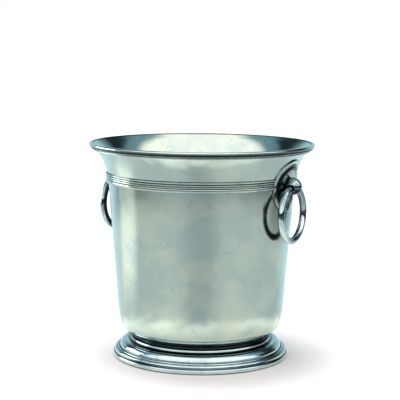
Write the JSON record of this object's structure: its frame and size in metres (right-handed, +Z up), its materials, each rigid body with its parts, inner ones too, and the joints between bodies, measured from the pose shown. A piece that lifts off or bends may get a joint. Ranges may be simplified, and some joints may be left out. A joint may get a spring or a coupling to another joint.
{
  "type": "champagne bucket",
  "caption": "Tapering round metal bucket with a flared reeded mouth, a moulded stepped foot and a drop ring handle at each side.",
  "frame": {"origin": "on the bucket's axis, at the flat underside of the foot, on the surface that it stands on", "axes": "+Z up along the bucket's axis; the two drop rings hang at +X (right) and -X (left)"},
  "size_m": [0.23, 0.23, 0.22],
  "materials": {
    "satin_wall": "satin",
    "polished_foot": "polished",
    "polished_handle": "polished"
  },
  "bodies": {
    "bucket": {"bowl": "satin_wall", "collar": "satin_wall", "lip": "satin_wall", "girdle_front": "satin_wall", "girdle_back": "satin_wall", "neck_ring": "polished_foot", "foot": "polished_foot", "foot_rim": "polished_foot", "plate_right": "satin_wall", "plate_left": "satin_wall", "boss_right": "polished_handle", "boss_left": "polished_handle", "knuckle_right": "polished_handle", "knuckle_left": "polished_handle"},
    "ring_right": {"ring_right": "polished_handle"},
    "ring_left": {"ring_left": "polished_handle"}
  },
  "joints": [
    {"name": "ring_right_swing", "type": "hinge", "parent": "bucket", "child": "ring_right", "pos_m": [0.102, 0, 0.1794], "axis": [0, -1, 0], "range_deg": [-7.5, 157]},
    {"name": "ring_left_swing", "type": "hinge", "parent": "bucket", "child": "ring_left", "pos_m": [-0.102, 0, 0.1794], "axis": [0, 1, 0], "range_deg": [-7.5, 157]}
  ]
}
